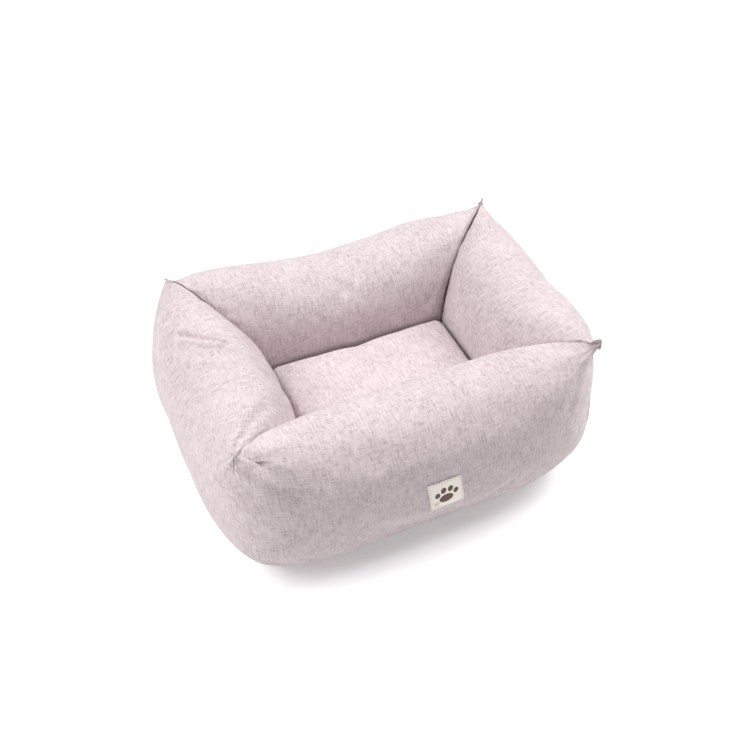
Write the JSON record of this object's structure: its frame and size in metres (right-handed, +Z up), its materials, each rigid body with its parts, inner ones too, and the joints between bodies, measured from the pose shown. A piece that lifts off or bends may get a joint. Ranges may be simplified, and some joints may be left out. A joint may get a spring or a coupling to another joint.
{
  "type": "pet cushion bed",
  "caption": "Small rectangular pet bed with four plump mitred walls in mauve linen-look cloth, a padded base and a loose zipped cushion that lifts out.",
  "frame": {"origin": "centre of the bed's underside, on the surface that it stands on", "axes": "+X along the long walls, -Y out of the front wall that carries the label, +Z up"},
  "size_m": [0.549, 0.4288, 0.238],
  "materials": {
    "linen": "mauve melange linen-look weave, matt",
    "seam_cloth": "the same cloth turned in at the seam, in shade",
    "wadding": "white polyester fibre, loose",
    "underside": "dark grey non-slip cloth",
    "lining": "plain grey lining cloth, matt",
    "label_weave": "ivory woven label, fine twill",
    "thread": "sewing thread",
    "zip_tape": "narrow herringbone tape",
    "zip_coil": "moulded polyester coil",
    "zip_metal": "plated zinc, satin"
  },
  "bodies": {
    "bed": {"front_wall_cover": "linen", "front_wall_fill": "wadding", "right_wall_cover": "linen", "right_wall_fill": "wadding", "back_wall_cover": "linen", "back_wall_fill": "wadding", "left_wall_cover": "linen", "left_wall_fill": "wadding", "front_left_corner_seam": "seam_cloth", "front_right_corner_seam": "seam_cloth", "back_right_corner_seam": "seam_cloth", "back_left_corner_seam": "seam_cloth", "bottom_panel": "underside", "base_pad": "wadding", "deck_panel": "lining", "label": "label_weave", "label_stitching": "thread"},
    "cushion": {"cushion_top_panel": "linen", "cushion_bottom_panel": "linen", "cushion_fill": "wadding", "zip_tape_front": "zip_tape", "zip_tape_rear": "zip_tape", "zip_coil_front": "zip_coil", "zip_coil_rear": "zip_coil", "zip_stop_open": "zip_metal", "zip_stop_closed": "zip_metal"},
    "zip_slider": {"zip_slider": "zip_metal"}
  },
  "joints": [
    {"name": "cushion_lift", "type": "slide", "parent": "bed", "child": "cushion", "axis": [0, 0, 1], "range_m": [0, 0.22]},
    {"name": "zip_slide", "type": "slide", "parent": "cushion", "child": "zip_slider", "axis": [-1, 0, 0], "range_m": [0, 0.154]}
  ]
}
